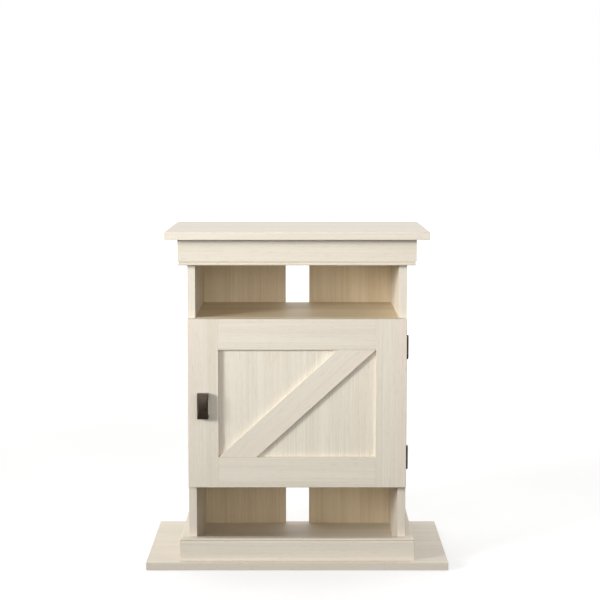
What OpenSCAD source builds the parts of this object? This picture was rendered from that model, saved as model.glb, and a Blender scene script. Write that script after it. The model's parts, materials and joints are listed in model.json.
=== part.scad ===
// Aquarium stand cabinet. An open cubby sits over a cupboard with a farmhouse
// door, over a second open cubby, on a base plank wider than the cabinet.
// Origin: middle of the footprint, on the floor. +X right, +Y back, +Z up.

/* [Cabinet] */
// Outer width of the cabinet box
cabinet_w = 500; // [460:1:540]
// Overall depth, the same as the top panel's
depth = 360; // [350:1:400]
// Height of the top panel's upper face
stand_h = 780; // [770:1:820]
// Thickness of every main board
board_t = 18; // [18:0.5:19]
// Clear height of the lower cubby
lower_cubby_h = 172; // [165:1:190]
// Height from the upper shelf to the underside of the top panel
upper_cubby_h = 181; // [170:1:190]
// Width of the gap between the two back panels
back_gap = 58; // [40:1:80]

/* [Trim] */
// Thickness of the apron and kick boards
trim_t = 20; // [18:1:24]
// Height of the apron boards
apron_h = 60; // [55:1:70]
// Height of the kick boards
kick_h = 52; // [45:1:60]
// Distance from a trim board's moulded edge to its groove
bead_h = 7; // [5:0.5:9]
// How far the top panel stands out beyond the apron
top_overhang = 27.5; // [15:0.5:40]
// How far the base plank reaches beyond each side kick board
base_reach = 77.5; // [40:0.5:100]
// How far the base plank reaches in front of the kick board
base_front_reach = 15; // [10:1:15]

/* [Door] */
// Thickness of the door's frame
door_t = 18; // [18:1:20]
// Width of the door's stiles
stile_w = 70; // [60:1:80]
// Height of the door's rails
rail_h = 70.5; // [60:0.5:80]
// Depth of the panel's face below the frame's face
panel_recess = 9.5; // [8:0.5:10]
// Horizontal width of the diagonal brace
brace_w = 86.5; // [70:0.5:100]
// Gap between the door's back and the cabinet's front, which holds the hinges
hinge_gap = 2.5; // [2.5:0.1:3]

/* [Handle and hinges] */
// Width of the pull
handle_w = 25; // [20:1:30]
// Height of the pull
handle_h = 58; // [54:1:70]
// How far the pull stands out from the door
handle_out = 20; // [18:1:24]
// Length of each hinge
hinge_h = 50; // [45:1:60]
// Outer radius of the hinge knuckles
knuckle_r = 2.3; // [2.2:0.05:2.4]
// Radius of the hinge pins
pin_r = 0.9; // [0.8:0.05:1]

/* [Hidden] */
$fn = 48;

ivory = [0.90, 0.86, 0.78];
shade = [0.80, 0.74, 0.64];
dark = [0.16, 0.15, 0.14];
steel = [0.72, 0.73, 0.75];
beech = [0.82, 0.68, 0.48];

// Clearance round a fastener in its hole, and past the end of a blind one
fit = 0.05;
end_gap = 0.3;
// How much longer a cutting solid is than what it cuts
over = 1;

// Planes of the cabinet
half_w = cabinet_w / 2;
inner = half_w - board_t;
trim_half = half_w + trim_t;
base_half = trim_half + base_reach;
top_half = trim_half + top_overhang;
back_y = depth / 2;
panel_y = back_y - board_t;
front_y = -depth / 2 + top_overhang + trim_t;
trim_y = front_y - trim_t;
base_y = trim_y - base_front_reach;
top_z = stand_h - board_t;
lower_shelf_z = board_t + lower_cubby_h;
upper_shelf_z = top_z - upper_cubby_h - board_t;
SHELVES = [lower_shelf_z, upper_shelf_z];
side_mid = half_w - board_t / 2;

// Door planes: its edges stop door_margin inside the boards that it covers
door_margin = 0.5;
door_half = half_w - door_margin;
door_z0 = lower_shelf_z + door_margin;
door_z1 = upper_shelf_z + board_t - door_margin;
door_back = front_y - hinge_gap;
door_front = door_back - door_t;
open_half = door_half - stile_w;
open_z0 = door_z0 + rail_h;
open_z1 = door_z1 - rail_h;
panel_t = 5;
panel_front = door_front + panel_recess;
panel_back = panel_front + panel_t;
panel_in = 8;
brace_t = panel_recess - 1;

// Cam fittings: a lock in one board holds the head of a bolt in the next
cam_r = 7.4;
cam_t = 12.3;
cam_set = 34;
cam_room = 0.2;
cam_slot = 7;
bolt_hold = 11;
bolt_r = 2.5;
shank_r = 3;
shank_hole_r = 4;
neck_r = 1.7;
neck_l = 5;
bolt_end = 2;
CAM_YS = [-65, 115];

// Dowels
dowel_r = 4;
dowel_face = 10;
dowel_edge = 20;
DOWEL_YS = [-20, 70];

// Screws: [length, shank radius, head radius]
BASE_SCREW = [50, 2.5, 5];
KICK_SCREW = [45, 2, 4];
APRON_SCREW = [33, 2, 4];
BACK_SCREW = [40, 2, 4];
LEAF_SCREW = [13, 1.1, 2.2];
CATCH_SCREW = [14, 1.5, 3];
STRIKE_SCREW = [12, 1.5, 3];
BRACE_SCREW = [11, 1.5, 3];
BASE_SCREW_YS = [-95, 25, 140];
KICK_SCREW_YS = [-100, 20, 140];
KICK_SCREW_XS = [-180, 0, 180];
APRON_SCREW_YS = [-40, 60, 150];
BACK_SCREW_XS = [60, 200];
BACK_DOWEL_XS = [70, 190];
back_dowel_y = back_y - board_t / 2;
// Shares of the brace's run that have a screw, and of a rail's height a dowel
BRACE_SCREW_SHARES = [0.15, 0.38, 0.62, 0.85];
DOOR_DOWEL_SHARES = [0.25, 0.75];
// The door's dowels run in front of the panel's groove
door_dowel_in = 5;

// Hinges
leaf_t = 1.2;
leaf_w = 17;
pin_gap = 0.05;
knuckle_gap = 0.15;
knuckles = 5;
tip_r = 2.1;
tip_h = 3;
axis_x = half_w + knuckle_r;
axis_y = front_y - hinge_gap / 2;
hinge_set = 67;
HINGES = [door_z0 + hinge_set, door_z1 - hinge_set];
knuckle_h = hinge_h / knuckles;
LEAF_SCREW_AT = [[5.5, -17], [11, 0], [5.5, 17]];

// Handle, on the middle of the left stile
handle_x = -door_half + stile_w / 2;
handle_drop = 3.5;
handle_z = (door_z0 + door_z1) / 2 - handle_drop;
handle_bow = 3.5;
handle_chamfer = 4;
strap_t = 4.2;
foot_h = 9;
handle_screw_r = 2;
handle_head_r = 4;
handle_head_h = 2;
thread_depth = 9;
HANDLE_SCREW_ZS = [-1, 1] * (handle_h - foot_h) / 2;

// Magnetic catch, under the upper shelf beside the left side panel
catch_w = 46;
catch_side_gap = 2;
catch_x = -inner + catch_w / 2 + catch_side_gap;
catch_d = 16;
catch_h = 13;
flange_h = 3;
magnet_w = 20;
magnet_h = 8;
magnet_out = 1.4;
pocket_d = 13;
strike_t = 1;
strike_h = 12;
catch_wall = 3;
CATCH_SCREW_XS = [-1, 1] * 17;

// ---- Plain helpers ----

// A block from its lowest to its highest corner
module block(low, high) translate(low) cube(high - low);

// Turns something made along +Z to point along a unit vector
module aim(v) rotate([0, acos(v.z), atan2(v.y, v.x)]) children();

// A round hole or rod of radius r that starts at a point and runs along v
module rod(at, v, l, r) translate(at) aim(v) cylinder(h = l, r = r);

// The other side of the cabinet
module both_sides() {
    children();
    mirror([1, 0, 0]) children();
}

// ---- Fasteners ----

// Countersunk screw, driven along +Z with its head's face at the origin
module screw_shape(size, grow = 0) {
    head = size[2] - size[1];
    tip = 1.5 * size[1];
    cylinder(h = head, r1 = size[2] + grow, r2 = size[1] + grow);
    cylinder(h = size[0] - tip + grow, r = size[1] + grow);
    translate([0, 0, size[0] - tip])
        cylinder(h = tip + grow, r1 = size[1] + grow, r2 = size[1] / 4 + grow);
}

// The screw with a cross recess in its head
module screw(at, v, size) {
    arm = size[2] * 0.62;
    slot = size[2] * 0.14;
    cross_depth = size[2] * 0.35;
    translate(at) aim(v) difference() {
        screw_shape(size);
        block([-arm, -slot, -over], [arm, slot, cross_depth]);
        block([-slot, -arm, -over], [slot, arm, cross_depth]);
    }
}

// The hole that a screw sits in, open at its head's face
module screw_hole(at, v, size)
    translate(at) aim(v) {
        screw_shape(size, fit);
        translate([0, 0, -over]) cylinder(h = over + fit, r = size[2] + fit);
    }

// Dowel with chamfered ends; it starts dowel_face deep in one board
module dowel(at, v) {
    chamfer = 1;
    r = dowel_r - fit;
    l = dowel_face + dowel_edge - 2 * end_gap;
    translate(at) aim(v) translate([0, 0, end_gap - dowel_face]) {
        cylinder(h = chamfer, r1 = r - chamfer, r2 = r);
        translate([0, 0, chamfer]) cylinder(h = l - 2 * chamfer, r = r);
        translate([0, 0, l - chamfer]) cylinder(h = chamfer, r1 = r, r2 = r - chamfer);
    }
}

// Cam lock: its face is at the origin, its body along +Z, and its jaw opens
// along +X on the height of the bolt
module cam_lock(at, v, turn) {
    drive = 2;
    arm = 4.5;
    slot = 0.7;
    translate(at) aim(v) rotate(turn) difference() {
        cylinder(h = cam_t, r = cam_r);
        block([-cam_slot / 2, -cam_slot / 2, board_t / 2 - cam_slot / 2],
              [cam_r + over, cam_slot / 2, cam_t + over]);
        block([-arm, -slot, -over], [arm, slot, drive]);
        block([-slot, -arm, -over], [slot, arm, drive]);
    }
}

// Cam bolt: screwed bolt_hold deep into one board, with its head in the lock
module cam_bolt(at, v) {
    shank = cam_set - neck_l;
    translate(at) aim(v) {
        translate([0, 0, -bolt_hold + end_gap]) cylinder(h = bolt_hold - end_gap, r = bolt_r);
        cylinder(h = shank, r = shank_r);
        translate([0, 0, shank]) cylinder(h = neck_l - bolt_end, r = neck_r);
        translate([0, 0, cam_set - bolt_end]) cylinder(h = bolt_end, r = shank_r - fit);
    }
}

// Bore for a cam lock, and the hole that leads the bolt into it
module cam_bore(at, v) rod(at - over * v, v, cam_t + cam_room + over, cam_r + 2 * fit);
module bolt_way(at, v) rod(at - over * v, v, cam_set + over, shank_hole_r);

// Hole that the bolt is screwed into, and the two halves of a dowel's hole
module bolt_hole(at, v) rod(at - over * v, v, bolt_hold + over, bolt_r + fit);
module face_hole(at, v) rod(at - over * v, v, dowel_face + over, dowel_r);
module edge_hole(at, v) rod(at - over * v, v, dowel_edge + over, dowel_r);

// ---- Where the fasteners go ----

LEFT = [-1, 0, 0];
RIGHT = [1, 0, 0];
FORWARD = [0, -1, 0];
BACKWARD = [0, 1, 0];
UP = [0, 0, 1];
DOWN = [0, 0, -1];

apron_cam_z = top_z - apron_h / 2;
apron_cam_y = front_y + cam_set;
top_cam_z = top_z - cam_set;
kick_mid = half_w + trim_t / 2;

// Points on the right-hand side; the left has their mirror images
SHELF_CAMS = [for (z = SHELVES, y = CAM_YS) [inner - cam_set, y, z]];
SHELF_BOLTS = [for (z = SHELVES, y = CAM_YS) [inner, y, z + board_t / 2]];
SHELF_DOWELS = [for (z = SHELVES, y = DOWEL_YS) [inner, y, z + board_t / 2]];
TOP_CAMS = [for (y = CAM_YS) [inner, y, top_cam_z]];
TOP_BOLTS = [for (y = CAM_YS) [side_mid, y, top_z]];
TOP_DOWELS = [for (y = DOWEL_YS) [side_mid, y, top_z]];
APRON_CAM = [inner, apron_cam_y, apron_cam_z];
APRON_BOLT = [side_mid, front_y, apron_cam_z];
BASE_DOWELS = [for (y = DOWEL_YS) [side_mid, y, board_t]];
BASE_SCREWS = [for (y = BASE_SCREW_YS) [side_mid, y, 0]];
SIDE_KICK_SCREWS = [for (y = KICK_SCREW_YS) [kick_mid, y, 0]];
FRONT_KICK_SCREWS = [for (x = KICK_SCREW_XS) [x, front_y - trim_t / 2, 0]];
APRON_SCREWS = [for (y = APRON_SCREW_YS) [inner, y, apron_cam_z]];
BACK_SCREWS = [for (z = SHELVES, x = BACK_SCREW_XS) [x, back_y, z + board_t / 2]];
BACK_BASE_DOWELS = [for (x = BACK_DOWEL_XS) [x, back_dowel_y, board_t]];
BACK_TOP_DOWELS = [for (x = BACK_DOWEL_XS) [x, back_dowel_y, top_z]];

// Screws through a leaf, seen from the middle of its hinge
LEAF_SCREWS = [for (z = HINGES, p = LEAF_SCREW_AT) [half_w - leaf_w + p[0], 0, z + p[1]]];
frame_leaf_y = front_y - leaf_t;
door_leaf_y = door_back + leaf_t;
FRAME_LEAF_SCREWS = [for (p = LEAF_SCREWS) [p.x, frame_leaf_y, p.z]];
DOOR_LEAF_SCREWS = [for (p = LEAF_SCREWS) [p.x, door_leaf_y, p.z]];

CATCH_SCREWS = [for (x = CATCH_SCREW_XS)
    [catch_x + x, front_y + catch_d / 2, upper_shelf_z - flange_h]];
STRIKE_AT = [catch_x, door_back + strike_t, upper_shelf_z - catch_h / 2];
brace_run = 2 * open_half - brace_w;
BRACE_SCREWS = [for (k = BRACE_SCREW_SHARES)
    [-open_half + brace_w / 2 + k * brace_run, panel_back, open_z0 + k * (open_z1 - open_z0)]];
DOOR_DOWELS = [for (x = [-1, 1], z = [door_z0, door_z1 - rail_h], k = DOOR_DOWEL_SHARES)
    [x * open_half, door_front + door_dowel_in, z + k * rail_h]];

// ---- Cabinet boards ----

module top_panel() color(ivory) difference() {
    block([-top_half, -depth / 2, top_z], [top_half, back_y, stand_h]);
    both_sides() {
        for (p = TOP_BOLTS) bolt_hole(p, UP);
        for (p = TOP_DOWELS) face_hole(p, UP);
        for (p = BACK_TOP_DOWELS) face_hole(p, UP);
    }
}

module base_plank() color(ivory) difference() {
    block([-base_half, base_y, 0], [base_half, back_y, board_t]);
    for (p = FRONT_KICK_SCREWS) screw_hole(p, UP, KICK_SCREW);
    both_sides() {
        for (p = BASE_SCREWS) screw_hole(p, UP, BASE_SCREW);
        for (p = SIDE_KICK_SCREWS) screw_hole(p, UP, KICK_SCREW);
        for (p = BASE_DOWELS) face_hole(p, DOWN);
        for (p = BACK_BASE_DOWELS) face_hole(p, DOWN);
    }
}

module side_panel() difference() {
    block([inner, front_y, board_t], [half_w, back_y, top_z]);
    for (p = SHELF_BOLTS) bolt_hole(p, RIGHT);
    for (p = SHELF_DOWELS) face_hole(p, RIGHT);
    for (p = TOP_CAMS) cam_bore(p, RIGHT);
    for (p = TOP_BOLTS) bolt_way(p, DOWN);
    for (p = TOP_DOWELS) edge_hole(p, DOWN);
    cam_bore(APRON_CAM, RIGHT);
    bolt_way(APRON_BOLT, BACKWARD);
    for (p = BASE_DOWELS) edge_hole(p, UP);
    for (p = BASE_SCREWS) screw_hole(p, UP, BASE_SCREW);
    for (p = APRON_SCREWS) screw_hole(p, RIGHT, APRON_SCREW);
}

module left_side_panel() color(ivory) mirror([1, 0, 0]) side_panel();

module right_side_panel() color(ivory) difference() {
    side_panel();
    for (p = FRAME_LEAF_SCREWS) screw_hole(p, BACKWARD, LEAF_SCREW);
}

module shelf(z) difference() {
    block([-inner, front_y, z], [inner, panel_y, z + board_t]);
    both_sides() {
        for (p = SHELF_CAMS) if (p.z == z) cam_bore(p, UP);
        for (p = SHELF_BOLTS) if (p.z == z + board_t / 2) bolt_way(p, LEFT);
        for (p = SHELF_DOWELS) if (p.z == z + board_t / 2) edge_hole(p, LEFT);
        for (p = BACK_SCREWS) if (p.z == z + board_t / 2) screw_hole(p, FORWARD, BACK_SCREW);
    }
}

module upper_shelf() color(shade) difference() {
    shelf(upper_shelf_z);
    for (p = CATCH_SCREWS) screw_hole(p, UP, CATCH_SCREW);
}

module lower_shelf() color(shade) shelf(lower_shelf_z);

module back_panel() difference() {
    block([back_gap / 2, panel_y, board_t], [inner, back_y, top_z]);
    for (p = BACK_SCREWS) screw_hole(p, FORWARD, BACK_SCREW);
    for (p = BACK_BASE_DOWELS) edge_hole(p, UP);
    for (p = BACK_TOP_DOWELS) edge_hole(p, DOWN);
}

module left_back_panel() color(shade) mirror([1, 0, 0]) back_panel();
module right_back_panel() color(shade) back_panel();

// ---- Mitred trim ----

// Section of a trim board of height h, from its back face to the face that
// shows: a groove bead_h below its top sets off a slightly recessed, rounded bead
module trim_section(h) {
    bead_back = 1;
    groove = 3.4;
    round_r = 2.5;
    difference() {
        square([trim_t, h]);
        translate([trim_t - bead_back, h - bead_h]) square([over + bead_back, bead_h + over]);
        translate([trim_t - bead_back, h - bead_h]) rotate(45)
            square(groove, center = true);
        translate([trim_t - bead_back - round_r, h - round_r]) difference() {
            square(round_r + over);
            circle(round_r);
        }
    }
}

// A straight length of trim along +X, its back on y = 0 and its bead at the top
module trim_length(l, h) translate([-l / 2, 0, 0]) rotate([90, 0, 90])
    linear_extrude(l) mirror([1, 0]) trim_section(h);

// Front board, mitred at both ends
module front_trim(h) translate([0, front_y, 0]) intersection() {
    trim_length(2 * trim_half, h);
    translate([0, 0, -over]) linear_extrude(h + 2 * over) polygon([
        [-half_w, 0], [half_w, 0],
        [half_w + trim_t + over, -trim_t - over], [-half_w - trim_t - over, -trim_t - over]
    ]);
}

// Right side board, from its mitre at the front to the back of the cabinet
module side_trim(h) intersection() {
    run = back_y - trim_y;
    translate([half_w, (back_y + trim_y) / 2, 0]) rotate(90) trim_length(run, h);
    translate([0, 0, -over]) linear_extrude(h + 2 * over) polygon([
        [half_w, front_y], [half_w + trim_t + over, front_y - trim_t - over],
        [half_w + trim_t + over, back_y], [half_w, back_y]
    ]);
}

// The apron has its bead at the bottom, the kick boards have theirs at the top
module as_apron() translate([0, 0, top_z]) mirror([0, 0, 1]) children();
module as_kick_board() translate([0, 0, board_t]) children();

module front_apron() color(ivory) difference() {
    as_apron() front_trim(apron_h);
    both_sides() bolt_hole(APRON_BOLT, FORWARD);
}

module side_apron() difference() {
    as_apron() side_trim(apron_h);
    for (p = APRON_SCREWS) screw_hole(p, RIGHT, APRON_SCREW);
}

module left_apron() color(ivory) mirror([1, 0, 0]) side_apron();
module right_apron() color(ivory) side_apron();

module front_kick_board() color(ivory) difference() {
    as_kick_board() front_trim(kick_h);
    for (p = FRONT_KICK_SCREWS) screw_hole(p, UP, KICK_SCREW);
}

module side_kick_board() difference() {
    as_kick_board() side_trim(kick_h);
    for (p = SIDE_KICK_SCREWS) screw_hole(p, UP, KICK_SCREW);
}

module left_kick_board() color(ivory) mirror([1, 0, 0]) side_kick_board();
module right_kick_board() color(ivory) side_kick_board();

// ---- Fastener groups ----

module shelf_cam_locks() color(steel) both_sides()
    for (p = SHELF_CAMS) cam_lock(p, UP, 0);
module shelf_cam_bolts() color(steel) both_sides()
    for (p = SHELF_BOLTS) cam_bolt(p, LEFT);
module top_cam_locks() color(steel) both_sides()
    for (p = TOP_CAMS) cam_lock(p, RIGHT, 180);
module top_cam_bolts() color(steel) both_sides()
    for (p = TOP_BOLTS) cam_bolt(p, DOWN);
module apron_cam_locks() color(steel) both_sides() cam_lock(APRON_CAM, RIGHT, -90);
module apron_cam_bolts() color(steel) both_sides() cam_bolt(APRON_BOLT, BACKWARD);

module shelf_dowels() color(beech) both_sides() for (p = SHELF_DOWELS) dowel(p, LEFT);
module top_dowels() color(beech) both_sides() for (p = TOP_DOWELS) dowel(p, DOWN);
module base_dowels() color(beech) both_sides() for (p = BASE_DOWELS) dowel(p, UP);
module back_panel_dowels() color(beech) both_sides() {
    for (p = BACK_BASE_DOWELS) dowel(p, UP);
    for (p = BACK_TOP_DOWELS) dowel(p, DOWN);
}

module base_screws() color(steel) both_sides()
    for (p = BASE_SCREWS) screw(p, UP, BASE_SCREW);
module kick_board_screws() color(steel) {
    for (p = FRONT_KICK_SCREWS) screw(p, UP, KICK_SCREW);
    both_sides() for (p = SIDE_KICK_SCREWS) screw(p, UP, KICK_SCREW);
}
module side_apron_screws() color(steel) both_sides()
    for (p = APRON_SCREWS) screw(p, RIGHT, APRON_SCREW);
module back_panel_screws() color(steel) both_sides()
    for (p = BACK_SCREWS) screw(p, FORWARD, BACK_SCREW);

// ---- Hinges ----

// One leaf of the hinge at height z: a plate from y0 to y1 and every second
// knuckle, starting with the given one
module hinge_leaf(z, y0, y1, first) {
    z0 = z - hinge_h / 2;
    difference() {
        union() {
            block([half_w - leaf_w, y0, z0], [axis_x, y1, z0 + hinge_h]);
            for (k = [first:2:knuckles - 1])
                rod([axis_x, axis_y, z0 + k * knuckle_h + knuckle_gap / 2], UP,
                    knuckle_h - knuckle_gap, knuckle_r);
        }
        for (k = [1 - first:2:knuckles - 1])
            block([half_w - knuckle_gap, y0 - over, z0 + k * knuckle_h - knuckle_gap / 2],
                  [axis_x + over, y1 + over, z0 + (k + 1) * knuckle_h + knuckle_gap / 2]);
        rod([axis_x, axis_y, z0 - over], UP, hinge_h + 2 * over, pin_r + pin_gap);
    }
}

module hinge_frame_leaf(z) difference() {
    hinge_leaf(z, frame_leaf_y, front_y, 0);
    for (p = FRAME_LEAF_SCREWS) screw_hole(p, BACKWARD, LEAF_SCREW);
}

module hinge_door_leaf(z) difference() {
    hinge_leaf(z, door_back, door_leaf_y, 1);
    for (p = DOOR_LEAF_SCREWS) screw_hole(p, FORWARD, LEAF_SCREW);
}

// Pin with a domed tip at each end
module hinge_pin(z) translate([axis_x, axis_y, z]) {
    half = hinge_h / 2;
    dome = 1;
    cylinder(h = hinge_h + 2 * over, r = pin_r, center = true);
    for (s = [0, 1]) mirror([0, 0, s]) translate([0, 0, half + knuckle_gap]) {
        cylinder(h = tip_h - dome, r = tip_r);
        translate([0, 0, tip_h - dome]) cylinder(h = dome, r1 = tip_r, r2 = tip_r / 2);
    }
}

module upper_hinge_frame_leaf() color(dark) hinge_frame_leaf(HINGES[1]);
module upper_hinge_door_leaf() color(dark) hinge_door_leaf(HINGES[1]);
module upper_hinge_pin() color(dark) hinge_pin(HINGES[1]);
module lower_hinge_frame_leaf() color(dark) hinge_frame_leaf(HINGES[0]);
module lower_hinge_door_leaf() color(dark) hinge_door_leaf(HINGES[0]);
module lower_hinge_pin() color(dark) hinge_pin(HINGES[0]);
module hinge_frame_screws() color(dark)
    for (p = FRAME_LEAF_SCREWS) screw(p, BACKWARD, LEAF_SCREW);
module hinge_door_screws() color(dark)
    for (p = DOOR_LEAF_SCREWS) screw(p, FORWARD, LEAF_SCREW);

// ---- Magnetic catch ----

// The magnet from y to the bottom of its pocket, or with grow the pocket
module magnet_shape(y, grow) {
    half_x = magnet_w / 2 + grow;
    half_z = magnet_h / 2 + grow;
    mid_z = upper_shelf_z - catch_h / 2;
    block([catch_x - half_x, y, mid_z - half_z],
          [catch_x + half_x, front_y + pocket_d + grow, mid_z + half_z]);
}

// Housing with a flange at the shelf and a pocket for the magnet
module catch_housing() color("white") difference() {
    body_w = magnet_w + 2 * catch_wall;
    union() {
        block([catch_x - catch_w / 2, front_y, upper_shelf_z - flange_h],
              [catch_x + catch_w / 2, front_y + catch_d, upper_shelf_z]);
        block([catch_x - body_w / 2, front_y, upper_shelf_z - catch_h],
              [catch_x + body_w / 2, front_y + catch_d, upper_shelf_z - flange_h]);
    }
    magnet_shape(front_y - over, fit);
    for (p = CATCH_SCREWS) screw_hole(p, UP, CATCH_SCREW);
}

module catch_magnet() color(dark) magnet_shape(front_y - magnet_out, 0);

module catch_screws() color(steel)
    for (p = CATCH_SCREWS) screw(p, UP, CATCH_SCREW);

module strike_plate() color(steel) difference() {
    block([STRIKE_AT.x - magnet_w / 2 - catch_wall, door_back, STRIKE_AT.z - strike_h / 2],
          [STRIKE_AT.x + magnet_w / 2 + catch_wall, STRIKE_AT.y, STRIKE_AT.z + strike_h / 2]);
    screw_hole(STRIKE_AT, FORWARD, STRIKE_SCREW);
}

module strike_screw() color(steel) screw(STRIKE_AT, FORWARD, STRIKE_SCREW);

// ---- Door ----

// Space for the panel's edge in the frame round it
module panel_groove()
    block([-open_half - panel_in - over, panel_front - fit, open_z0 - panel_in - over],
          [open_half + panel_in + over, panel_back + fit, open_z1 + panel_in + over]);

module door_left_stile() color(ivory) difference() {
    block([-door_half, door_front, door_z0], [-open_half, door_back, door_z1]);
    panel_groove();
    for (p = DOOR_DOWELS) if (p.x < 0) face_hole(p, LEFT);
    for (z = HANDLE_SCREW_ZS)
        rod([handle_x, door_back + over, handle_z + z], FORWARD, door_t + 2 * over,
            handle_screw_r + 2 * fit);
    screw_hole(STRIKE_AT, FORWARD, STRIKE_SCREW);
}

module door_right_stile() color(ivory) difference() {
    block([open_half, door_front, door_z0], [door_half, door_back, door_z1]);
    panel_groove();
    for (p = DOOR_DOWELS) if (p.x > 0) face_hole(p, RIGHT);
    for (p = DOOR_LEAF_SCREWS) screw_hole(p, FORWARD, LEAF_SCREW);
}

module door_rail(z) difference() {
    block([-open_half, door_front, z], [open_half, door_back, z + rail_h]);
    panel_groove();
    for (p = DOOR_DOWELS) if (p.z > z && p.z < z + rail_h)
        edge_hole(p, p.x < 0 ? RIGHT : LEFT);
}

module door_top_rail() color(ivory) door_rail(door_z1 - rail_h);
module door_bottom_rail() color(ivory) door_rail(door_z0);

module door_panel() color(ivory) difference() {
    block([-open_half - panel_in, panel_front, open_z0 - panel_in],
          [open_half + panel_in, panel_back, open_z1 + panel_in]);
    for (p = BRACE_SCREWS) screw_hole(p, FORWARD, BRACE_SCREW);
}

// Diagonal brace from the lower left corner of the opening to the upper right
module door_brace() color(ivory) difference() {
    translate([0, panel_front, 0]) rotate([90, 0, 0]) linear_extrude(brace_t) polygon([
        [-open_half, open_z0], [-open_half + brace_w, open_z0],
        [open_half, open_z1], [open_half - brace_w, open_z1]
    ]);
    for (p = BRACE_SCREWS) screw_hole(p, FORWARD, BRACE_SCREW);
}

module door_dowels() color(beech)
    for (p = DOOR_DOWELS) dowel(p, p.x < 0 ? RIGHT : LEFT);

module brace_screws() color(steel)
    for (p = BRACE_SCREWS) screw(p, FORWARD, BRACE_SCREW);

// ---- Handle ----

// Side view of the pull, with x the distance out from the door: a slightly
// bowed face on two feet
module pull_side() {
    half = handle_h / 2;
    bow_r = (half * half + handle_bow * handle_bow) / (2 * handle_bow);
    difference() {
        intersection() {
            translate([0, -half]) square([handle_out, handle_h]);
            translate([handle_out - bow_r, 0]) circle(bow_r);
        }
        intersection() {
            translate([-over, foot_h - half]) square([handle_out, handle_h - 2 * foot_h]);
            translate([handle_out - bow_r, 0]) circle(bow_r - strap_t);
        }
    }
}

// Plan of the pull: its face is chamfered where it stands out beyond its ends
module pull_plan() {
    half = handle_w / 2;
    shoulder = handle_out - handle_bow;
    polygon([
        [-half, 0], [half, 0], [half, -shoulder], [half - handle_chamfer, -handle_out],
        [handle_chamfer - half, -handle_out], [-half, -shoulder]
    ]);
}

module door_handle() color(dark) difference() {
    translate([handle_x, door_front, handle_z]) intersection() {
        translate([-handle_w / 2, 0, 0]) rotate([90, 0, 90])
            linear_extrude(handle_w) mirror([1, 0]) pull_side();
        translate([0, 0, -handle_h / 2]) linear_extrude(handle_h) pull_plan();
    }
    for (z = HANDLE_SCREW_ZS)
        rod([handle_x, door_front + over, handle_z + z], FORWARD, thread_depth + over,
            handle_screw_r + fit);
}

module handle_screws() color(steel) for (z = HANDLE_SCREW_ZS) {
    at = [handle_x, door_back, handle_z + z];
    rod(at, BACKWARD, handle_head_h, handle_head_r);
    rod(at, FORWARD, door_t + thread_depth - end_gap, handle_screw_r);
}

top_panel();
base_plank();
left_side_panel();
right_side_panel();
upper_shelf();
lower_shelf();
left_back_panel();
right_back_panel();
front_apron();
left_apron();
right_apron();
front_kick_board();
left_kick_board();
right_kick_board();
shelf_cam_locks();
shelf_cam_bolts();
top_cam_locks();
top_cam_bolts();
apron_cam_locks();
apron_cam_bolts();
shelf_dowels();
top_dowels();
base_dowels();
back_panel_dowels();
base_screws();
kick_board_screws();
side_apron_screws();
back_panel_screws();
upper_hinge_frame_leaf();
upper_hinge_door_leaf();
upper_hinge_pin();
lower_hinge_frame_leaf();
lower_hinge_door_leaf();
lower_hinge_pin();
hinge_frame_screws();
hinge_door_screws();
catch_housing();
catch_magnet();
catch_screws();
strike_plate();
strike_screw();
door_left_stile();
door_right_stile();
door_top_rail();
door_bottom_rail();
door_panel();
door_brace();
door_dowels();
brace_screws();
door_handle();
handle_screws();
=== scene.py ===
import json
import math
import random

import bmesh
import bpy
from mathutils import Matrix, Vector


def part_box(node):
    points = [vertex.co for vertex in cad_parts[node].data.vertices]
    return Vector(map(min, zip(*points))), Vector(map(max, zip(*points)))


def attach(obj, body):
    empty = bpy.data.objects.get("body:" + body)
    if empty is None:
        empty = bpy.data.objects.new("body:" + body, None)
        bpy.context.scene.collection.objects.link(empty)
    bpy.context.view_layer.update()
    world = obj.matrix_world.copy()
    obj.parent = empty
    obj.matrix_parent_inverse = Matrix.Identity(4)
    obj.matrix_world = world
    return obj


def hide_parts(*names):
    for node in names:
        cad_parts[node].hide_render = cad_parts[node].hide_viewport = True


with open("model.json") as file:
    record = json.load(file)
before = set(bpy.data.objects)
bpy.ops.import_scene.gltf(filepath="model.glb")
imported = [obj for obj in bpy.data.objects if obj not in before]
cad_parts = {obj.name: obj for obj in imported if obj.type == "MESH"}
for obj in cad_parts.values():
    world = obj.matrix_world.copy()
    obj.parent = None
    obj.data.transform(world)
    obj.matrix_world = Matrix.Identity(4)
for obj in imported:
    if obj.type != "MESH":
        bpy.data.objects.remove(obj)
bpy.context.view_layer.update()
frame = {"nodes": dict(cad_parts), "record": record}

# Looks of the aquarium stand cabinet. Metres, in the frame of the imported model.
MM = 0.001

# ---- Places, read from the frame ----

DOOR_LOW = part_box("door_left_stile")[0]
DOOR_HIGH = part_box("door_right_stile")[1]

# ---- Camera: at the eye's height, looking slightly down at the door ----

EYE = Vector((0.0091, -3.3325, 1.0088))
LOOK_AT = Vector((0.0091, DOOR_LOW.y, 0.665))
LENS = 84.97
SENSOR = 36.0
SHIFT = (-0.0019, -0.03)

# ---- Light ----

# The soft boxes stand round the first; the key's beam points past the second, so that its
# light falls off towards the floor and doesn't fade to the right
LIT_CENTRE = Vector((0, -0.1, 0.42))
KEY_AIM = Vector((0.35, -0.1, 1.08))
WALL_BEHIND = 1.16
WALL_IN_FRONT = 1.05
CEILING_SHARE = 0.18

# ---- Sizes of what the looks add ----

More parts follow.
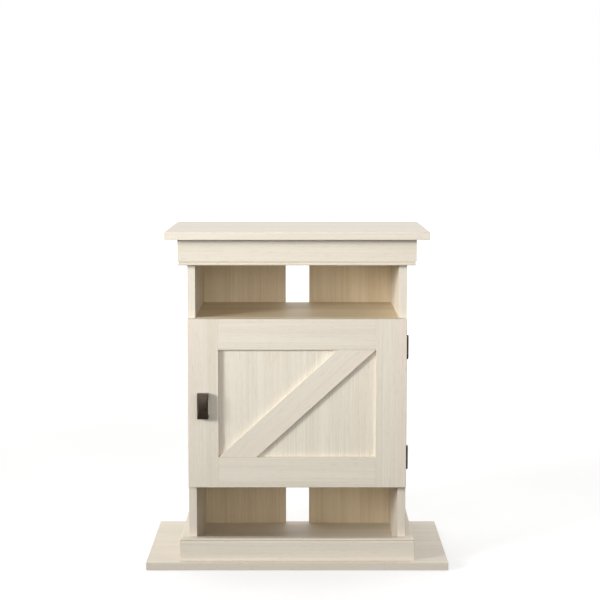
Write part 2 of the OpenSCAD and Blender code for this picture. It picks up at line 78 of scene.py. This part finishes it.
OUTLINE_R = 1.4 * MM
SOFT_R = 1.0 * MM
CRISP_R = 0.5 * MM
JOINT_R = 0.4 * MM
PANEL_R = 0.3 * MM
PULL_R = 0.45 * MM
SHORTEST_CORNER = 12 * MM
HOLE_MARGIN = 1.6 * MM
HOLE_FACE = 40 * MM ** 2
PIN_ROD_R = 0.9 * MM
PIN_HEAD = 2.85 * MM
PIN_CHAMFER = 0.25 * MM
PIN_DOME = 1.1 * MM

# ---- Colours, as sRGB from 0 to 255 ----

IVORY = (231, 223, 208)
IVORY_DARK = (221, 212, 195)
IVORY_PINK = (232, 218, 203)
PANEL = (234, 227, 212)
PANEL_DARK = (222, 213, 196)
PANEL_PINK = (234, 222, 206)
IVORY_PORE = (176, 160, 134)
IVORY_WORN = (196, 180, 152)
# Back panels and shelves: a warmer, more saturated ivory that paints in the warm bounced light
# and shade inside the cubbies
CUBBY_SHADE = (236, 219, 188)
CUBBY_SHADE_DARK = (221, 201, 166)
CORE_LIGHT = (196, 166, 122)
CORE_DARK = (128, 96, 62)
BRONZE = (39, 34, 29)
BRONZE_WORN = (92, 76, 58)
BRONZE_SHEEN = (255, 238, 218)
ZINC = (188, 190, 194)
ZINC_DULL = (132, 134, 138)
BEECH = (214, 180, 132)
BEECH_DARK = (178, 138, 92)
PLASTIC = (232, 230, 222)
PLASTIC_DULL = (206, 203, 192)
FERRITE = (52, 52, 56)
FERRITE_DARK = (30, 30, 33)
FLOOR = (196, 196, 195)
FLOOR_DARK = (191, 191, 190)
FLOOR_GLOW = 0.54


def linear(colour):
    """The linear RGBA of an sRGB colour."""
    def channel(c):
        c /= 255
        return c / 12.92 if c <= 0.04045 else ((c + 0.055) / 1.055) ** 2.4
    return tuple(channel(c) for c in colour) + (1.0,)


# ---- Node graphs ----

class Graph:
    """The nodes of a material or a world, with short calls for those it needs."""

    def __init__(self, owner, shader, output):
        self.owner = owner
        owner.use_nodes = True
        self.tree = owner.node_tree
        self.tree.nodes.clear()
        self.shader = self.add(shader)
        self.link(self.shader.outputs[0], self.add(output).inputs["Surface"])

    def add(self, kind, **settings):
        node = self.tree.nodes.new(kind)
        for key, value in settings.items():
            setattr(node, key, value)
        return node

    def link(self, output, socket):
        self.tree.links.new(output, socket)

    def feed(self, socket, value):
        """Sets a socket to a constant, or links it to another node's output."""
        if isinstance(value, bpy.types.NodeSocket):
            self.link(value, socket)
        else:
            socket.default_value = value

    def attribute(self, name, output):
        return self.add("ShaderNodeAttribute", attribute_name=name).outputs[output]

    def place(self):
        return self.add("ShaderNodeTexCoord").outputs["Object"]

    def stretch(self, vector, scale):
        node = self.add("ShaderNodeVectorMath", operation="MULTIPLY")
        self.link(vector, node.inputs[0])
        node.inputs[1].default_value = scale
        return node.outputs[0]

    def noise(self, vector, scale=1.0, detail=2.0, roughness=0.5, distortion=0.0):
        node = self.add("ShaderNodeTexNoise")
        self.link(vector, node.inputs["Vector"])
        node.inputs["Scale"].default_value = scale
        node.inputs["Detail"].default_value = detail
        node.inputs["Roughness"].default_value = roughness
        node.inputs["Distortion"].default_value = distortion
        return node.outputs["Fac"]

    def cells(self, vector, scale):
        node = self.add("ShaderNodeTexVoronoi")
        self.link(vector, node.inputs["Vector"])
        node.inputs["Scale"].default_value = scale
        return node.outputs["Color"]

    def math(self, operation, a, b=0.0, clamp=False):
        node = self.add("ShaderNodeMath", operation=operation, use_clamp=clamp)
        self.feed(node.inputs[0], a)
        self.feed(node.inputs[1], b)
        return node.outputs[0]

    def spread(self, value, low, high, to_low=0.0, to_high=1.0):
        """Maps low..high smoothly to to_low..to_high."""
        node = self.add("ShaderNodeMapRange", interpolation_type="SMOOTHSTEP")
        self.link(value, node.inputs["Value"])
        node.inputs["From Min"].default_value = low
        node.inputs["From Max"].default_value = high
        node.inputs["To Min"].default_value = to_low
        node.inputs["To Max"].default_value = to_high
        return node.outputs[0]

    def mix(self, factor, a, b):
        """The colour a where factor is 0 and b where it is 1."""
        node = self.add("ShaderNodeMix", data_type="RGBA")
        self.feed(node.inputs["Factor"], factor)
        self.feed(node.inputs["A"], a)
        self.feed(node.inputs["B"], b)
        return node.outputs["Result"]

    def bump(self, height, strength, distance):
        node = self.add("ShaderNodeBump")
        self.link(height, node.inputs["Height"])
        node.inputs["Strength"].default_value = strength
        node.inputs["Distance"].default_value = distance
        self.link(node.outputs["Normal"], self.shader.inputs["Normal"])

    def finish(self, colour, roughness, **others):
        self.feed(self.shader.inputs["Base Color"], colour)
        self.feed(self.shader.inputs["Roughness"], roughness)
        for name, value in others.items():
            self.feed(self.shader.inputs[name.replace("_", " ")], value)
        return self.owner


def surface(name, shader="ShaderNodeBsdfPrincipled"):
    return Graph(bpy.data.materials.new(name), shader, "ShaderNodeOutputMaterial")


# ---- Materials ----

def wood(name, light, dark, pink, pore, worn):
    """Matt printed wood: broad straight bands, fine streaks, short pores and rubbed edges."""
    g = surface(name)
    grain = g.attribute("grain", "Vector")
    edge = g.attribute("edge", "Fac")
    bands = g.noise(g.stretch(grain, (0.9, 26, 1)), detail=2, distortion=0.3)
    tint = g.noise(g.stretch(grain, (0.6, 17, 3)), detail=1)
    streaks = g.noise(g.stretch(grain, (3.2, 210, 1)), detail=3, roughness=0.6, distortion=0.4)
    fibres = g.noise(g.stretch(grain, (16, 1100, 1)), detail=2, roughness=0.6)
    pores = g.spread(g.noise(g.stretch(grain, (42, 1500, 7)), detail=1), 0.62, 0.74)
    figure = g.math("ADD", g.math("MULTIPLY", bands, 0.5), g.math("MULTIPLY", streaks, 0.5))
    colour = g.mix(g.spread(figure, 0.36, 0.64), light, dark)
    colour = g.mix(g.spread(tint, 0.4, 0.75, 0.0, 0.55), colour, pink)
    colour = g.mix(g.spread(fibres, 0.45, 0.8, 0.0, 0.35), colour, dark)
    colour = g.mix(g.math("MULTIPLY", pores, 0.4), colour, pore)
    rubbed = g.noise(g.stretch(grain, (60, 300, 5)), detail=3, roughness=0.7)
    rubbed = g.math("MULTIPLY", edge, g.spread(rubbed, 0.42, 0.7))
    colour = g.mix(g.math("MULTIPLY", rubbed, 0.5), colour, worn)
    roughness = g.spread(fibres, 0.25, 0.75, 0.4, 0.56)
    height = g.math("SUBTRACT", g.math("MULTIPLY", fibres, 0.5), pores)
    g.bump(height, 0.35, 0.12 * MM)
    return g.finish(colour, roughness, Specular_IOR_Level=0.4)


def particle_core(name):
    """Pressed wood chips, where a board has been drilled or grooved."""
    g = surface(name)
    place = g.place()
    chips = g.cells(place, 520)
    dust = g.noise(place, 1700, detail=2)
    colour = g.mix(g.spread(chips, 0.2, 0.85), linear(CORE_DARK), linear(CORE_LIGHT))
    colour = g.mix(g.spread(dust, 0.5, 0.8, 0.0, 0.5), colour, linear(CORE_DARK))
    g.bump(dust, 0.6, 0.3 * MM)
    return g.finish(colour, g.spread(dust, 0.2, 0.8, 0.75, 0.95))


def painted_metal(name, colour, worn):
    """Fine powder coat with an orange-peel surface, rubbed towards the metal on its edges."""
    g = surface(name)
    place = g.place()
    peel = g.noise(place, 1400, detail=2)
    cloud = g.noise(place, 90, detail=3)
    scuffs = g.noise(g.stretch(place, (160, 160, 900)), detail=3, roughness=0.7)
    edge = g.attribute("edge", "Fac")
    rubbed = g.math("MULTIPLY", edge, g.spread(scuffs, 0.4, 0.75, 0.15, 0.8))
    shade = g.mix(g.spread(cloud, 0.3, 0.7, 0.0, 0.22), linear(colour), linear(worn))
    shade = g.mix(rubbed, shade, linear(worn))
    g.bump(peel, 0.25, 0.06 * MM)
    return g.finish(shade, g.spread(scuffs, 0.25, 0.8, 0.26, 0.46), Specular_IOR_Level=0.5,
                    Specular_Tint=linear(BRONZE_SHEEN))


def plated_steel(name):
    """Zinc plate: bright, with fine brushing and dull clouds."""
    g = surface(name)
    place = g.place()
    cloud = g.noise(place, 260, detail=3)
    brushed = g.noise(g.stretch(place, (900, 900, 5200)), detail=2)
    shade = g.mix(g.spread(cloud, 0.3, 0.75), linear(ZINC), linear(ZINC_DULL))
    g.bump(brushed, 0.2, 0.03 * MM)
    return g.finish(shade, g.spread(brushed, 0.2, 0.8, 0.35, 0.55), Metallic=0.5)


def beech_wood(name):
    """Turned beech: short dark flecks along the dowel."""
    g = surface(name)
    place = g.place()
    flecks = g.noise(g.stretch(place, (700, 160, 700)), detail=3)
    rings = g.noise(place, 120, detail=2)
    shade = g.mix(g.spread(rings, 0.3, 0.7, 0.0, 0.6), linear(BEECH), linear(BEECH_DARK))
    shade = g.mix(g.spread(flecks, 0.55, 0.8, 0.0, 0.7), shade, linear(BEECH_DARK))
    g.bump(flecks, 0.4, 0.1 * MM)
    return g.finish(shade, g.spread(flecks, 0.2, 0.8, 0.55, 0.75))


def moulded(name, light, dark, rough_low, rough_high):
    """Moulded plastic or pressed ferrite, with a fine sparked texture."""
    g = surface(name)
    place = g.place()
    spark = g.noise(place, 2600, detail=2)
    cloud = g.noise(place, 140, detail=3)
    shade = g.mix(g.spread(cloud, 0.35, 0.7), linear(light), linear(dark))
    g.bump(spark, 0.3, 0.05 * MM)
    return g.finish(shade, g.spread(spark, 0.2, 0.8, rough_low, rough_high))


def floor_paint():
    """Pale studio floor with a faint mottle, which brightens to white far away."""
    g = surface("studio_floor")
    place = g.place()
    mottle = g.noise(place, 2.5, detail=4)
    shade = g.mix(g.spread(mottle, 0.3, 0.7), linear(FLOOR), linear(FLOOR_DARK))
    away = g.add("ShaderNodeVectorMath", operation="LENGTH")
    g.link(place, away.inputs[0])
    glow = g.spread(away.outputs["Value"], 1.2, 4.0, FLOOR_GLOW, 1.0)
    white = linear((255, 255, 255))
    return g.finish(shade, 0.85, Emission_Color=white, Emission_Strength=glow)


def make_materials():
    shared = dict(pore=linear(IVORY_PORE), worn=linear(IVORY_WORN))
    return {
        "ivory": wood("ivory_wood", linear(IVORY), linear(IVORY_DARK),
                      linear(IVORY_PINK), **shared),
        "panel": wood("panel_wood", linear(PANEL), linear(PANEL_DARK),
                      linear(PANEL_PINK), **shared),
        # The cubby boards: ivory tinted warmer, as painted bounced shade from inside the
        # cubbies
        "inner": wood("inner_wood", linear(CUBBY_SHADE), linear(CUBBY_SHADE_DARK),
                      linear(CUBBY_SHADE), **shared),
        "core": particle_core("particle_core"),
        "dark_metal": painted_metal("dark_metal", BRONZE, BRONZE_WORN),
        "zinc_steel": plated_steel("zinc_steel"),
        "beech": beech_wood("beech"),
        "catch_plastic": moulded("catch_plastic", PLASTIC, PLASTIC_DULL, 0.4, 0.6),
        "magnet": moulded("magnet", FERRITE, FERRITE_DARK, 0.6, 0.8),
    }


MATERIALS = make_materials()

# ---- Mesh helpers ----

AXES = (Vector((1, 0, 0)), Vector((0, 1, 0)), Vector((0, 0, 1)))


def welded_copy(node):
    """A bmesh of a CAD node with its split edges joined and its flat faces whole."""
    bm = bmesh.new()
    bm.from_mesh(frame["nodes"][node].data)
    for face in bm.faces:
        face.smooth = False
    bmesh.ops.remove_doubles(bm, verts=bm.verts, dist=0.002 * MM)
    bmesh.ops.dissolve_limit(bm, angle_limit=math.radians(0.3), verts=bm.verts, edges=bm.edges)
    bm.normal_update()
    return bm


def turns_out(edge, degrees):
    """True for an edge where the surface turns outwards by more than an angle."""
    return (len(edge.link_faces) == 2 and edge.is_convex
            and edge.calc_face_angle() > math.radians(degrees))


def round_edges(bm, edges, radius, clamp):
    """Rounds the edges, and returns the new faces."""
    made = bmesh.ops.bevel(bm, geom=edges, offset=radius, offset_type="OFFSET", segments=3,
                           profile=0.5, affect="EDGES", clamp_overlap=clamp)
    bm.normal_update()
    return made["faces"]


def round_corners(bm, radii, radius_of):
    """Rounds each long outer corner by its radius; the new faces alone are set smooth."""
    for radius in radii:
        edges = [e for e in bm.edges if turns_out(e, 38)
                 and e.calc_length() > SHORTEST_CORNER and radius_of(e) == radius]
        for face in round_edges(bm, edges, radius, clamp=False):
            face.smooth = True


def paint_grain(bm, along, axes, seed, core_if):
    """Gives each face corner its place along and across the grain, and its share of edge."""
    grain = bm.loops.layers.float_vector.new("grain")
    edge = bm.loops.layers.float.new("edge")
    spans = [[v.co.dot(axis) for v in bm.verts] for axis in axes]
    lengths = [max(span) - min(span) for span in spans]
    for face in bm.faces:
        facing = max(range(3), key=lambda k: abs(face.normal.dot(axes[k])))
        lying = sorted((k for k in range(3) if k != facing), key=lambda k: -lengths[k])
        if along in lying:
            lying.sort(key=lambda k: k != along)
        u, v = (axes[k] for k in lying)
        face.material_index = 1 if core_if(face) else 0
        for loop in face.loops:
            place = loop.vert.co
            loop[grain] = (place.dot(u), place.dot(v), seed + facing * 0.31)
            loop[edge] = 1.0 if face.smooth else 0.0


def smooth_but_sharp(bm, angle=35):
    """Smooth faces, with edges over the angle kept sharp."""
    for face in bm.faces:
        face.smooth = True
    for edge in bm.edges:
        if len(edge.link_faces) == 2:
            edge.smooth = edge.calc_face_angle() < math.radians(angle)


def new_piece(name, bm, materials, body, slot, *replaced):
    """Makes the bmesh a piece that rides on a body and stands for CAD nodes."""
    mesh = bpy.data.meshes.new(name)
    bm.to_mesh(mesh)
    bm.free()
    for material in materials:
        mesh.materials.append(MATERIALS[material])
    piece = bpy.data.objects.new(name, mesh)
    bpy.context.scene.collection.objects.link(piece)
    normals = piece.modifiers.new("flat faces stay flat", "WEIGHTED_NORMAL")
    normals.keep_sharp = True
    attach(piece, body)
    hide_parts(*replaced)


# ---- Boards ----

def touches(value, *planes):
    return any(abs(value - plane) < 0.01 * MM for plane in planes)


def inside(node):
    """A test for faces that lie within a board, such as the walls of its holes."""
    low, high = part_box(node)

    def test(face):
        middle = face.calc_center_median()
        return all(low[k] + HOLE_MARGIN < middle[k] < high[k] - HOLE_MARGIN for k in range(3))
    return test


def small(face):
    """A test for the faces of a bored hole, in a board that lies aslant."""
    return face.calc_area() < HOLE_FACE


def nowhere(face):
    """A test for no face: the board shows no bare core."""
    return False


def board(node, along, body, radii, look="ivory", axes=AXES, core_if=None, radius_of=None):
    """A board as cut in CAD, with rounded corners and grain along one of its axes."""
    bm = welded_copy(node)
    round_corners(bm, radii, radius_of or (lambda edge: radii[0]))
    seed = random.Random(node).random() * 9
    paint_grain(bm, along, axes, seed, core_if or inside(node))
    smooth_but_sharp(bm)
    new_piece(node + "_board", bm, (look, "core"), body, "ivory_wood", node)


def door_radius(edge):
    """Soft on the door's outline, crisp round its opening and along its joints."""
    a, b = (v.co for v in edge.verts)
    on_side = any(touches(a.x, x) and touches(b.x, x) for x in (DOOR_LOW.x, DOOR_HIGH.x))
    on_end = any(touches(a.z, z) and touches(b.z, z) for z in (DOOR_LOW.z, DOOR_HIGH.z))
    return OUTLINE_R if on_side or on_end else JOINT_R


def make_cabinet_boards():
    for node in ("top_panel", "base_plank"):
        board(node, 0, "cabinet", [SOFT_R])
    for node in ("left_side_panel", "right_side_panel"):
        board(node, 2, "cabinet", [CRISP_R])
    # Back panels and shelves take the cubby tone, which paints in the cubbies' warm shade
    for node in ("left_back_panel", "right_back_panel"):
        board(node, 2, "cabinet", [CRISP_R], look="inner")
    for node in ("upper_shelf", "lower_shelf"):
        board(node, 0, "cabinet", [CRISP_R], look="inner")
    for node in ("front_apron", "front_kick_board"):
        board(node, 0, "cabinet", [CRISP_R], core_if=nowhere)
    for node in ("left_apron", "right_apron", "left_kick_board", "right_kick_board"):
        board(node, 1, "cabinet", [CRISP_R], core_if=nowhere)


def make_door_boards():
    frame_radii = dict(radii=[OUTLINE_R, JOINT_R], radius_of=door_radius)
    for node in ("door_left_stile", "door_right_stile"):
        board(node, 2, "door", **frame_radii)
    for node in ("door_top_rail", "door_bottom_rail"):
        board(node, 0, "door", **frame_radii)
    board("door_panel", 2, "door", [PANEL_R], look="panel")
    # The brace's ends are cut level, so its run is narrower than its box by the cut's width
    low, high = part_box("door_brace")
    run = Vector((high.x - low.x - brace_cut_width(), 0, high.z - low.z)).normalized()
    axes = (run, AXES[1], AXES[1].cross(run))
    board("door_brace", 0, "door", [CRISP_R], axes=axes, core_if=small)


def brace_cut_width():
    """Width of the brace's level cut, from the corners on its lower edge."""
    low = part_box("door_brace")[0]
    mesh = frame["nodes"]["door_brace"].data
    ends = [v.co.x for v in mesh.vertices if touches(v.co.z, low.z)]
    return max(ends) - min(ends)


# ---- Metal pieces ----

def make_handle():
    """The pull, softened on every edge that shows."""
    bm = welded_copy("door_handle")
    soften_handle(bm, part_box("door_handle")[1].y)
    paint_edges(bm)
    smooth_but_sharp(bm, 30)
    new_piece("door_handle_pull", bm, ("dark_metal",), "door", "dark_metal", "door_handle")


def soften_handle(bm, back):
    """Rounds every outer edge of the pull but those against the door."""
    def meets_door(edge):
        return all(touches(v.co.y, back) for v in edge.verts)
    edges = [e for e in bm.edges if not meets_door(e) and turns_out(e, 32)]
    round_edges(bm, edges, PULL_R, clamp=True)


def paint_edges(bm):
    """Marks the rounded edges of a metal piece, for the wear in its material."""
    edge = bm.loops.layers.float.new("edge")
    for face in bm.faces:
        flat = max(abs(face.normal.dot(axis)) for axis in AXES) > 0.97
        for loop in face.loops:
            loop[edge] = 0.0 if flat else 1.0


def lathe(profile, centre, steps=32):
    """A solid turned about a vertical axis from (radius, height) points, both ends on it."""
    bm = bmesh.new()
    rings = []
    for radius, height in profile:
        if radius == 0:
            rings.append([bm.verts.new(centre + Vector((0, 0, height)))])
            continue
        ring = []
        for k in range(steps):
            a = 2 * math.pi * k / steps
            at = Vector((radius * math.cos(a), radius * math.sin(a), height))
            ring.append(bm.verts.new(centre + at))
        rings.append(ring)
    for lower, upper in zip(rings, rings[1:]):
        for k in range(steps):
            a, b = lower[k % len(lower)], lower[(k + 1) % len(lower)]
            c, d = upper[(k + 1) % len(upper)], upper[k % len(upper)]
            corners = list(dict.fromkeys((a, b, c, d)))
            bm.faces.new(corners)
    bmesh.ops.recalc_face_normals(bm, faces=bm.faces)
    return bm


def pin_end(head_r, end):
    """Profile of a hinge pin's upper end: its rod, then a head with a chamfer and a dome."""
    under = end - PIN_HEAD
    shoulder = end - PIN_DOME
    profile = [(PIN_ROD_R, under), (head_r - PIN_CHAMFER, under),
               (head_r, under + PIN_CHAMFER), (head_r, shoulder)]
    for k in range(1, 6):
        a = math.pi / 2 * k / 6
        profile.append((head_r * math.cos(a), shoulder + PIN_DOME * math.sin(a)))
    return profile + [(0, end)]


def make_hinge_pins():
    """Hinge pins whose ends are turned to small buttons."""
    for node in ("upper_hinge_pin", "lower_hinge_pin"):
        low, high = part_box(node)
        upper = pin_end((high.x - low.x) / 2, (high.z - low.z) / 2)
        lower = [(r, -z) for r, z in reversed(upper)]
        bm = lathe(lower + upper, (low + high) / 2)
        paint_edges(bm)
        smooth_but_sharp(bm, 40)
        new_piece(node + "_turned", bm, ("dark_metal",), "cabinet", "dark_metal", node)


def finish_cad_nodes():
    """The CAD nodes that stay visible take the material of their slot."""
    slots = {s["node"]: s["material_slot"] for s in frame["record"]["subparts"]}
    for name, node in frame["nodes"].items():
        look = "ivory" if slots[name] == "ivory_wood" else slots[name]
        node.data.materials.clear()
        node.data.materials.append(MATERIALS[look])


# ---- Studio ----

def make_camera():
    data = bpy.data.cameras.new("camera")
    data.lens, data.sensor_width = LENS, SENSOR
    data.shift_x, data.shift_y = SHIFT
    data.clip_end = 60
    camera = bpy.data.objects.new("camera", data)
    camera.location = EYE
    camera.rotation_euler = (LOOK_AT - EYE).to_track_quat("-Z", "Y").to_euler()
    bpy.context.scene.collection.objects.link(camera)
    bpy.context.scene.camera = camera


def soft_box(name, azimuth, elevation, distance, size, power, spread=180, aim=LIT_CENTRE):
    """A square lamp, at an azimuth from the front towards the right."""
    a, e = math.radians(azimuth), math.radians(elevation)
    away = Vector((math.sin(a) * math.cos(e), -math.cos(a) * math.cos(e), math.sin(e)))
    data = bpy.data.lights.new(name, "AREA")
    data.shape, data.size, data.energy = "SQUARE", size, power
    data.spread = math.radians(spread)
    lamp = bpy.data.objects.new(name, data)
    lamp.location = LIT_CENTRE + distance * away
    lamp.rotation_euler = (aim - lamp.location).to_track_quat("-Z", "Y").to_euler()
    lamp.visible_camera = False
    bpy.context.scene.collection.objects.link(lamp)


def make_world():
    """White walls: bright behind, a band above the horizon in front, dark floor."""
    g = Graph(bpy.data.worlds.new("studio"), "ShaderNodeBackground", "ShaderNodeOutputWorld")
    bpy.context.scene.world = g.owner
    way = g.add("ShaderNodeSeparateXYZ")
    g.link(g.add("ShaderNodeTexCoord").outputs["Generated"], way.inputs[0])
    above = g.spread(way.outputs["Z"], -0.08, 0.04)
    behind = g.spread(way.outputs["Y"], -0.2, 0.2, 0.0, WALL_BEHIND)
    in_front = g.spread(way.outputs["Y"], -0.2, 0.2, 1.0, 0.0)
    ceiling = WALL_IN_FRONT * CEILING_SHARE
    low = g.spread(way.outputs["Z"], 0.15, 0.55, WALL_IN_FRONT, ceiling)
    walls = g.math("ADD", behind, g.math("MULTIPLY", in_front, low))
    g.feed(g.shader.inputs["Strength"], g.math("MULTIPLY", above, walls))
    g.feed(g.shader.inputs["Color"], linear((255, 255, 255)))


def make_studio():
    bpy.context.scene.view_settings.view_transform = "Standard"
    make_world()
    soft_box("key", azimuth=-56, elevation=16, distance=4.3, size=1.15, power=17.3,
             spread=50, aim=KEY_AIM)
    soft_box("front", azimuth=0, elevation=17, distance=2.2, size=1.5, power=12)
    bpy.ops.mesh.primitive_plane_add(size=120, location=(0, 0, -0.2 * MM))
    floor = bpy.context.object
    floor.name = "floor"
    floor.data.materials.append(floor_paint())
    floor.visible_diffuse = False
    floor.visible_glossy = False
    make_backdrop()


def make_backdrop():
    """A white dome behind everything that only the camera sees."""
    bpy.ops.mesh.primitive_uv_sphere_add(segments=48, ring_count=24, radius=50)
    dome = bpy.context.object
    dome.name = "backdrop"
    dome.data.materials.append(surface("backdrop", "ShaderNodeEmission").owner)
    for kind in ("diffuse", "glossy", "transmission", "volume_scatter", "shadow"):
        setattr(dome, "visible_" + kind, False)


finish_cad_nodes()
make_cabinet_boards()
make_door_boards()
make_handle()
make_hinge_pins()
make_camera()
make_studio()
